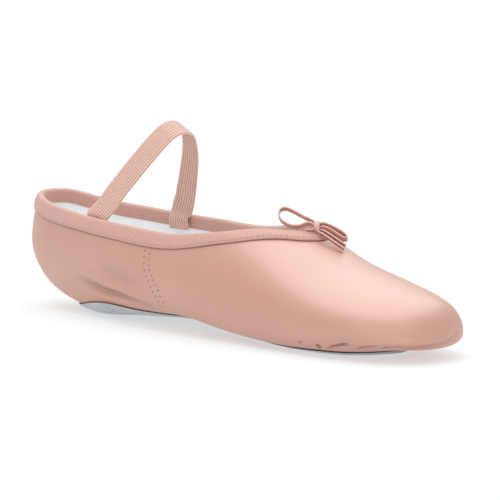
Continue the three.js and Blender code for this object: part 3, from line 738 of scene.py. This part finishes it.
toeRoll = [
    {"path": [(214.3, -29.9, 5.9), (219.5, -29.5, 7.3), (225, -28.2, 8.3), (229.7, -26, 8.8),
              (236.7, -21.3, 9.4), (241.8, -14.2, 9.8), (244.1, -7.5, 10.2), (244.8, -3.1, 10.6),
              (244.8, 0.5, 11.5), (244.4, 2.8, 13.1), (243.5, 5.6, 15.4)],
     "height": 0.85, "width": 1.1},
    {"path": [(228, -23.5, 6.2), (234.9, -19, 6.9), (240.6, -12.6, 7.2), (243.6, -6.1, 7.8), (245, 0.2, 9),
              (244.3, 6.5, 11), (243, 10.1, 13.2)],
     "height": -1.1, "width": 1.5},
]
reliefSet = {
    "reach": 0.006,  # off the skin; a fold further off than this is another side's
    "farShare": 0.8,  # height of the far side's folds and pleats against the near side's
    "foldFade": (0.0, 0.003),  # distances above the sole's edge over which each kind comes up
    "pleatFade": (-0.0012, 0.0006),
    "swellFade": (-0.002, 0.006),
    "swell": 0.00022,
    "swellsPerMetre": 42,
    "foldShadeDepth": 0.0028,  # depth of a fold whose painted shade would be full
    "foldShadeMost": 0.45,
    "pleatShadeDepth": 0.0007,
}


def foldRelief(points, normals, fold, side=1, openEnd=False):
    path = (np.array(fold["path"]) * 0.001 - (last["length"] / 2, 0, 0)) * (1, side, 1)
    nearest = np.full(len(points), 1.0)
    place = np.zeros(len(points))  # share of the way along the fold
    ways = walked(path)
    for start, end, way in zip(path, path[1:], ways):
        span = end - start
        t = np.clip(((points - start) @ span) / (span @ span), 0, 1)
        off = points - (start + t[:, None] * span)
        lift = (off * normals).sum(-1)
        along = np.sqrt(np.maximum((off * off).sum(-1) - lift**2, 0))  # as measured along the skin
        closer = (along < nearest) & (np.abs(lift) < reliefSet["reach"])
        nearest = np.where(closer, along, nearest)
        place = np.where(closer, (way + t * np.linalg.norm(span)) / ways[-1], place)
    if openEnd:
        taper = smoothStep(place, -0.15, 0.45) * smoothStep(1 - place, 0, 0.3)
    else:
        taper = np.sin(math.pi * (0.04 + 0.92 * place))**0.8
    return fold["height"] * 0.001 * taper * bell(nearest, 0, fold["width"] * 0.001)


def broadRelief(points, normals, soleWay):  # the relief, and the painted shade it lays in the leather's troughs
    look = reliefSet
    flat, flatNormals = points.reshape(-1, 3), normals.reshape(-1, 3)
    folds, pleats = np.zeros(len(flat)), np.zeros(len(flat))
    for side, share in ((1, 1.0), (-1, look["farShare"])):
        for fold in quarterFolds:
            folds += share * foldRelief(flat, flatNormals, fold, side)
        for fold in toePleats:
            pleats += share * foldRelief(flat, flatNormals, fold, side, openEnd=True)
    for fold in toeRoll:
        folds += foldRelief(flat, flatNormals, fold)
    swells = np.array([noise.noise(Vector(p) * look["swellsPerMetre"]) for p in flat.tolist()])
    folds = folds.reshape(soleWay.shape) * smoothStep(soleWay, *look["foldFade"])
    pleats = pleats.reshape(soleWay.shape) * smoothStep(soleWay, *look["pleatFade"])
    swells = look["swell"] * swells.reshape(soleWay.shape) * smoothStep(soleWay, *look["swellFade"])
    # painted shade in the troughs of the folds and pleats, darker the deeper they are
    foldShade = np.clip(-folds / look["foldShadeDepth"], 0, look["foldShadeMost"])
    return folds + pleats + swells, foldShade + np.clip(-pleats / look["pleatShadeDepth"], 0, 1)


# Small pleats of the hem under the sole's edge: where they leave it (from the toe's middle, near side
# negative), how far they lean along it and how far they reach over the leather. Millimetres.
hemPleats = [(-78, 10, 1.6), (-69, 10, 1.8), (-59, 11, 2), (-50, 11, 1.4), (-41, 9, 1.4), (-33, 7.5, 1.6),
             (-26, 6, 2), (-19.5, 4.5, 2.4), (-13.5, 3, 2.6), (-8, 1.8, 2.8), (-3, 0.6, 3), (2.5, -0.8, 2.8),
             (8, -2, 2.8), (14, -3.4, 2.6), (20, -4.6, 2.2), (27, -6, 1.8), (34, -7.6, 1.6), (42, -9, 1.4),
             (51, -10, 1.6), (60, -11, 1.6), (70, -10, 1.6)]
hemSet = {
    "depth": 0.0007,
    "width": 0.7,  # millimetres
    "under": 1,  # millimetres that a pleat runs on under the sole
    "fade": 0.001,
    "dark": 0.0012,  # depth of a hem pleat whose painted shade would be full
}


def hemRelief(arc, soleWay):
    relief = np.zeros(soleWay.shape)
    for start, lean, reach in hemPleats:
        share = np.clip((soleWay * 1000 + hemSet["under"]) / (reach + hemSet["under"]), 0, 1)
        off = arc * 1000 - start - lean * share
        relief -= hemSet["depth"] * bell(off, 0, hemSet["width"]) * smoothStep(1 - share, 0, 0.5)
    return np.maximum(relief, -hemSet["depth"])


# The side seam of both quarters, in millimetres from the heel and above the floor
seamLine = [(98.1, 37.3), (98.2, 34.2), (98.4, 31.5), (98.9, 28.5), (101.2, 24.6), (104, 21), (106.6, 18),
            (108.5, 14.5), (109.6, 11.5)]
seamAhead = 0.2  # how far the seam runs on above the line, against its first stretch


def seamPlaces(points):  # how far across and along the seam each point lies
    line = np.array(seamLine) * 0.001 - np.array([last["length"] / 2, 0])
    flat = points[..., [0, 2]].reshape(-1, 2)
    nearest = np.full(len(flat), 1.0)
    along = np.zeros(len(flat))
    across = np.ones(len(flat))
    for start, end, way in zip(line, line[1:], walked(line)):
        span = end - start
        length = np.linalg.norm(span)
        t = np.clip(((flat - start) @ span) / length**2, -seamAhead if way == 0 else 0, 1)
        off = flat - (start + t[:, None] * span)
        distance = np.linalg.norm(off, axis=-1)
        closer = distance < nearest
        nearest = np.where(closer, distance, nearest)
        along = np.where(closer, way + t * length, along)
        across = np.where(closer, np.sign(off[:, 0] * span[1] - off[:, 1] * span[0]) * distance, across)
    return across.reshape(points.shape[:-1]), along.reshape(points.shape[:-1])


ribs = layRibs(upperSet["ribsPerSide"], upperSet["toeWeight"])
ribLength = ribs["length"][:, None]
skinLength = ribLength - upperSet["topEdge"]
insideStops = upperSet["topEdge"] + skinLength * np.linspace(0, 1, upperSet["innerStops"])
insideDirs = ribDirs(ribs, insideStops)
insideRelief = broadRelief(skin(insideDirs), outward(insideDirs), ribLength - last["hem"] - insideStops)[0]


def outsideStops(look):  # closer at the sole, and beside the binding's edge
    share = np.linspace(0, 1, look["outerStops"] - len(look["edgeStops"]))[None]
    bunched = share * (1 - look["bunching"]) + look["bunching"] * np.sin(share * math.pi / 2)
    beside = look["bindingEdge"] + np.array(look["edgeStops"])
    beside = np.broadcast_to(beside, (len(ribLength), len(beside)))
    return np.sort(np.concatenate([look["topEdge"] + skinLength * bunched, beside], 1), axis=1)


def doubledWay(stops):  # down the outside and up the inside again, for the pattern of a cloth
    way = np.concatenate([stops, 2 * ribLength - insideStops[:, ::-1], 2 * ribLength], 1)
    return np.concatenate([way, way[:1]])


# Painted shade on the leather: where it falls, and how dark
shadeSet = {
    "underBinding": 0.95,
    "underBindingAt": 0.0001,  # below the binding's edge
    "underBindingWidth": 0.00028,
    "atSole": 0.6,
    "atSoleAt": 0.0002,  # above the sole's edge
    "atSoleWidth": 0.0005,
    "nearSole": 0.12,
    "nearSoleWay": 0.011,
}


def makeUpper():
    look, shade = upperSet, shadeSet
    stops = outsideStops(look)
    soleWay = ribLength - last["hem"] - stops
    soleEdge = skin(ribDirs(ribs, ribLength - last["hem"]))[:, 0]
    edgeWay = ringWay(soleEdge)
    arc = (edgeWay[look["ribsPerSide"]] - edgeWay[:-1])[:, None]  # from the toe's middle, near side negative
    dirs = ribDirs(ribs, stops)
    outer, normals = skin(dirs), outward(dirs)
    relief, paintedShade = broadRelief(outer, normals, soleWay)
    fine = hemRelief(arc, soleWay)
    height = relief + fine * (1 - smoothStep(-soleWay, 0.0, hemSet["fade"]))
    inner = over(insideDirs, insideRelief - look["skinDepth"])[:, ::-1]
    points = np.concatenate([outer + normals * height[..., None], inner], 1)
    # painted shade in the hem pleats
    paintedShade -= fine / hemSet["dark"]
    # painted shade: darker towards the sole, a line along the sole's edge and a line under the binding's edge
    paintedShade += shade["nearSole"] * (1 - smoothStep(soleWay, 0.0, shade["nearSoleWay"]))
    paintedShade += shade["atSole"] * bell(soleWay, shade["atSoleAt"], shade["atSoleWidth"])
    paintedShade += shade["underBinding"] * bell(stops, look["bindingEdge"] + shade["underBindingAt"],
                                           shade["underBindingWidth"])
    paintedShade = np.concatenate([np.clip(paintedShade, 0, 1), np.zeros(insideStops.shape)], 1)
    across, along = seamPlaces(points)
    across[:, look["outerStops"]:] = 1.0  # no holes on the inside
    uvs = gridUvs(edgeWay, doubledWay(stops))
    shape = gridPiece(points, uvs, closeRows=True, closeColumns=True,
                      layers={"seamAcross": across, "seamAlong": along, "paintedShade": paintedShade})
    finishPiece("leather_upper", shape, leather, ["upper"])


makeUpper()
print("upper made")

# Lining, a cotton layer glued inside the leather

def makeLining():
    outer = over(insideDirs, insideRelief - upperSet["skinDepth"] - upperSet["glue"])
    inner = over(insideDirs, insideRelief - last["wall"])
    points = np.concatenate([outer, inner[:, ::-1]], 1)
    collar = skin(ribDirs(ribs, np.zeros_like(ribLength)))[:, 0]
    uvs = gridUvs(ringWay(collar), doubledWay(insideStops))
    shape = gridPiece(points, uvs, closeRows=True, closeColumns=True)
    finishPiece("cotton_lining", shape, liningCotton)


makeLining()
print("lining made")

# Binding: a cotton tape folded over the collar's edge, the casing of the drawstring

bindingSet = {
    "outside": 0.006,
    "inside": 0.005,
    "thickness": 0.0009,
    "swell": 0.00025,
    "pucker": 0.00012,
    "puckersPerMetre": 170,
    "finePuckersPerMetre": 420,
    "finePucker": 0.6,  # against the coarse one
    "ribsPerSide": 300,
    "outsideSteps": 14,
    "crownSteps": 10,
    "insideSteps": 13,
    "edgeTurn": 0.35,  # radius of the tape's edges, in thicknesses
    "edgeLift": 0.0001,
    "edgeSlope": 0.00002,
    "edgeCorner": 0.00008,
    "edgeStep": 0.0003,  # from the inner edge to the first stop
    "edgeThin": 0.0003,  # how much thinner the tape is at its outer edge
    "edgeThinWay": 0.0012,
    "stitchBack": 0.0008,  # stitch line above the tape's lower edge
    "stitchDip": 0.00022,
    "stitchDipInside": 0.0002,
    "stitchGroove": 0.0003,
    "stitchGrooveInside": 0.0005,
    # painted shade along the stitch row
    "stitchDark": 0.4,
    "stitchStep": 0.00025,  # between the stops beside the outer stitches
    "stitchClear": 0.0006,  # from there on the stops stand evenly
    "stitchPitch": 0.0026,
    "stitchLength": 0.0017,
    "threadRadius": 0.00017,
}


def makeBinding():
    look = bindingSet
    lay = layRibs(look["ribsPerSide"])
    count = 2 * look["ribsPerSide"]
    outside = last["gap"] + look["thickness"]
    inside = last["wall"] + last["gap"] + look["thickness"]
    stitchStop = look["outside"] - look["stitchBack"]
    stitchStopInside = look["inside"] - look["stitchBack"]

    def ring(distance):
        return ribDirs(lay, np.full((count, 1), distance))[:, 0]

    def at(distance, height):
        return over(ring(distance), np.broadcast_to(height, (count,)))

    edge, normal = skin(ring(0.0)), outward(ring(0.0))
    upwards = unit(edge - at(0.001, 0))
    ripple = [noise.noise(Vector(place) * look["puckersPerMetre"])
              + look["finePucker"] * noise.noise(Vector(place) * look["finePuckersPerMetre"])
              for place in edge.tolist()]
    pucker = look["pucker"] * np.array(ripple)

    def outerHeight(distance):  # swollen by the drawstring, drawn in at the stitches
        arch = math.sin(math.pi * distance / look["outside"])
        thin = look["edgeThin"] * smoothStep(distance, look["outside"] - look["edgeThinWay"], look["outside"])
        drawn = look["stitchDip"] * bell(distance, stitchStop, look["stitchGroove"])
        return outside - thin + look["swell"] * arch + pucker * arch**0.5 - drawn

    def innerHeight(distance):
        arch = math.sin(math.pi * distance / look["inside"])
        drawn = look["stitchDipInside"] * bell(distance, stitchStopInside, look["stitchGrooveInside"])
        return drawn - inside - look["swell"] * arch

    edgeTurn = look["thickness"] * look["edgeTurn"]
    columns = [  # the outer edge of the tape
        at(look["outside"] - look["edgeSlope"], look["edgeLift"]),
        at(look["outside"], look["edgeLift"] + edgeTurn),
        at(look["outside"] - look["edgeCorner"], outside - edgeTurn * 0.9),
    ]
    edgeColumns = len(columns)
    step = look["stitchStep"]
    stops = np.array([look["outside"] - step, stitchStop + step, stitchStop, stitchStop - step,
                      *np.linspace(stitchStop - look["stitchClear"], 0.0, look["outsideSteps"])])
    columns += [at(stop, outerHeight(stop)) for stop in stops]
    for angle in np.linspace(0, math.pi, look["crownSteps"])[1:-1]:  # over the collar's edge
        across = (outside - inside) / 2 + (outside + inside) / 2 * math.cos(angle)
        columns.append(edge + normal * across + upwards * ((outside + inside) / 2 * math.sin(angle)))
    innerStops = np.linspace(0.0, look["inside"] - look["edgeStep"], look["insideSteps"])
    columns += [at(stop, innerHeight(stop)) for stop in innerStops]
    wallFace = last["wall"] + last["gap"]
    columns += [  # the inner edge, and back along the leather
        at(look["inside"], edgeTurn - inside),
        at(look["inside"] - look["edgeSlope"], -wallFace),
        at(look["inside"] / 2, -wallFace),
        edge - normal * wallFace + upwards * last["gap"],
        edge + normal * last["gap"] + upwards * last["gap"],
        at(look["outside"] / 2, last["gap"]),
    ]
    points = np.stack(columns, 1)
    uvs = gridUvs(ringWay(edge), ringWay(points[0]))
    # painted shade along the outer stitch row, where the tape is drawn in
    paintedTone = np.zeros(points.shape[:2])
    dark = look["stitchDark"] * bell(stops, stitchStop, look["stitchGroove"])
    paintedTone[:, edgeColumns:edgeColumns + len(stops)] = dark
    shape = gridPiece(points, uvs, closeRows=True, closeColumns=True, layers={"paintedTone": paintedTone})
    finishPiece("collar_tape", shape, bindingCotton, ["collar_binding"])
    return [(at(stitchStop, outerHeight(stitchStop)), outward(ring(stitchStop))),
            (at(stitchStopInside, innerHeight(stitchStopInside)), -outward(ring(stitchStopInside)))]


def makeStitches(rows, look):
    shape = bmesh.new()
    toX = Matrix.Rotation(math.pi / 2, 4, "Y")
    stretch = Matrix.Diagonal((look["stitchLength"] / 2, look["threadRadius"], look["threadRadius"], 1))
    for line, normals in rows:
        way = ringWay(line)
        line, normals = np.concatenate([line, line[:1]]), np.concatenate([normals, normals[:1]])
        count = round(way[-1] / look["stitchPitch"])
        for i in range(count):
            middle = (i + 0.5) * way[-1] / count
            stops = (middle - look["stitchLength"] / 2, middle + look["stitchLength"] / 2, middle)
            start, end, centre = (Vector([np.interp(stop, way, line[:, k]) for k in range(3)])
                                  for stop in stops)
            out = Vector([np.interp(middle, way, normals[:, k]) for k in range(3)]).normalized()
            aim = (end - start).normalized()
            side = out.cross(aim).normalized()
            turn = Matrix((aim, side, aim.cross(side))).transposed().to_4x4()
            bmesh.ops.create_uvsphere(shape, u_segments=8, v_segments=6, radius=1,
                                      matrix=Matrix.Translation(centre) @ turn @ stretch @ toX)
    finishPiece("collar_stitches", shape, bindingThread)


makeStitches(makeBinding(), bindingSet)
print("binding made")

# Elastic strap, ribbed lengthwise, sewn inside the binding

strapSet = {
    "width": 0.011,
    "footWidth": 0.012,
    "thickness": 0.0012,
    "station": 0.06,
    "slant": 0.004,
    "rise": 0.0455,
    "lean": 0.025,
    "foot": 0.0055,
    "ease": 0.0006,
    "nearTurn": 1 / 3,  # share of the rise over which each leg turns
    "farTurn": 0.9,
    "ribs": 8,
    "ribSteps": 8,
    "ribDepth": 0.3,  # share of the thickness
    "steps": 200,
    "plainRing": 50,  # clear of the feet
}
# From the collar to the crown: shares of the rise, of the half width at the collar, and of the lean
strapArch = [(0.07, 1.05, 0.033), (0.18, 1.0, 0.18), (0.35, 0.9, 0.352), (0.53, 0.765, 0.544),
             (0.71, 0.61, 0.733), (0.87, 0.425, 0.882), (0.97, 0.238, 0.975), (1.0, 0.0, 1.0)]


def strapOutline(look):  # the band's outline, and its lengthwise rib furrows, which shape the ribs and carry painted shade
    turn = np.linspace(0, 2 * math.pi * look["ribs"], look["ribs"] * look["ribSteps"] + 1)
    paintedTone = np.abs(np.cos(turn / 2))**5
    top = np.stack([np.linspace(0.95, -0.95, len(turn)), 1 - look["ribDepth"] * paintedTone], -1)
    edge = [(0.985, 0.6), (1.0, 0.0), (0.985, -0.6)]
    outline = np.concatenate([edge[1::-1], top, [(-x, y) for x, y in edge], top[::-1] * (1, -1), edge[2:]])
    return outline, np.concatenate([[0, 0], paintedTone, [0, 0, 0], paintedTone[::-1], [0]])


def strapSeat(station, distance, depth):  # a point inside the binding, below the collar's edge
    angle = np.array([math.acos(1 - 2 * (station - collarBack) / (collarFront - collarBack))])
    dirs = between(angle, np.linspace(0, 1, ribSet["fineShares"])[:, None])
    place = unit(np.array([np.interp(distance, walked(skin(dirs)), dirs[:, k]) for k in range(3)]))
    point = over(place, depth)
    point[0] = station - last["length"] / 2
    return point


def strapHalf(look, side):
    face = last["wall"] + last["gap"] + bindingSet["thickness"] + bindingSet["swell"]
    depth = -(face + last["gap"] + look["ease"] + look["thickness"] / 2)
    station = look["station"] + side * look["slant"]
    foot = [strapSeat(station, distance, depth) for distance in (look["foot"], look["foot"] / 2, 0)]
    rest = strapSeat(look["station"], 0, depth)
    arch = [(rest[0] + side * look["slant"] * (1 - up) + lean * look["lean"], out * foot[2][1],
             rest[2] + up * look["rise"]) for up, out, lean in strapArch]
    return np.array(foot + arch) * (1, side, 1), rest


def makeStrap():
    look = strapSet
    near, rest = strapHalf(look, -1)
    far = strapHalf(look, 1)[0]
    line = curveThrough(np.concatenate([near[:-1], far[::-1]]), look["steps"])
    turnShare = np.where(line[:, 1] > 0, look["farTurn"], look["nearTurn"])
    risen = smoothStep(line[:, 2], rest[2], rest[2] + look["rise"] * turnShare)[:, None]
    leaning = unit(np.array([1, 0, -look["lean"] / look["rise"]]))
    across = unit(np.array([1.0, 0, 0]) * (1 - risen) + leaning * risen)
    widths = look["footWidth"] + (look["width"] - look["footWidth"]) * risen[:, 0]
    # the rib furrows take painted shade
    outline, paintedTone = strapOutline(look)
    rings = bandRings(line, across, widths, look["thickness"], outline)
    bandPiece(line, rings, paintedTone, look["plainRing"], "ribbed_elastic", elasticRubber,
              ["elastic_strap"])


makeStrap()
print("strap made")

# Outsole and insole

soleSet = {"rows": 170, "columns": 44, "edgeRound": 0.0009, "roundShare": 0.45}


def makeLayer(name, margin, low, high, skive, material, node):
    look = soleSet
    angle = np.linspace(0, math.pi, look["rows"])[:, None]
    across = np.sin(np.linspace(-0.5, 0.5, look["columns"]) * math.pi)[None]
    dirs = soleDirection(angle, across, margin)
    lowPoints = over(dirs, low + (high - low) * skive * across**4 + 0 * angle)
    lowPoints[..., 2] = np.maximum(lowPoints[..., 2], 0)
    highPoints = over(dirs, high)
    half = np.abs(skin(soleDirection(angle, 1, margin))[..., 1])
    fromEdge = (1 - np.abs(across)) * half
    blend = ((1 - np.clip(fromEdge / look["edgeRound"], 0, 1))**2 * look["roundShare"])[..., None]
    lowRound = lowPoints * (1 - blend) + highPoints * blend
    highRound = highPoints * (1 - blend) + lowPoints * blend
    points = np.concatenate([lowRound, highRound[:, ::-1]], 1)
    uvs = gridUvs(points[:, look["columns"] // 2, 0], ringWay(points[look["rows"] // 2]))
    shape = gridPiece(points, uvs, closeColumns=True)
    finishPiece(name, shape, material, [node])


makeLayer("suede_outsole", 0, last["gap"] + last["sole"], last["gap"], last["skive"], soleSuede,
          "outsole")
insoleLow = -(last["wall"] + last["gap"])
makeLayer("sock_insole", last["insoleSetBack"], insoleLow, insoleLow - last["insole"], 0, insoleCotton,
          "insole")
print("soles made")

# Floor and light

stageSet = {"floor": "b8bec0", "glow": 0.48, "floorSize": 30, "sunAngle": 90, "world": 0.75}
# Strength, lean about X and about Y in degrees, whether it lights matt surfaces as well as the shine
softboxes = {
    "overheadSoftbox": (0.9, -13.7, -11.8, True),
    "shineSoftbox": (2.3, -13.7, -11.8, False),
    "frontSoftbox": (0.75, 45.2, 44.8, True),
}


def makeFloor(look):
    shape = bmesh.new()
    bmesh.ops.create_grid(shape, x_segments=4, y_segments=4, size=look["floorSize"])
    mesh = bpy.data.meshes.new("floor")
    shape.to_mesh(mesh)
    shape.free()
    floor = bpy.data.objects.new("floor", mesh)
    bpy.context.scene.collection.objects.link(floor)
    material = newMaterial("whiteFloorPaper", {
        "Base Color": linear(look["floor"]), "Roughness": 0.9, "Specular IOR Level": 0.1,
        "Emission Color": (1, 1, 1, 1), "Emission Strength": look["glow"]})[0]
    mesh.materials.append(material)


def addLights(look):
    for name, (strength, aboutX, aboutY, matt) in softboxes.items():
        sun = bpy.data.objects.new(name, bpy.data.lights.new(name, "SUN"))
        bpy.context.scene.collection.objects.link(sun)
        sun.data.energy = strength
        sun.data.angle = math.radians(look["sunAngle"])
        sun.rotation_euler = (math.radians(aboutX), math.radians(aboutY), 0)
        sun.visible_diffuse = matt
    world = bpy.data.worlds.new("studio")
    bpy.context.scene.world = world
    world.use_nodes = True
    background = world.node_tree.nodes["Background"]
    background.inputs["Color"].default_value = (1, 1, 1, 1)
    background.inputs["Strength"].default_value = look["world"]
    bpy.context.scene.view_settings.view_transform = "Standard"


makeFloor(stageSet)
addLights(stageSet)
print("stage made")
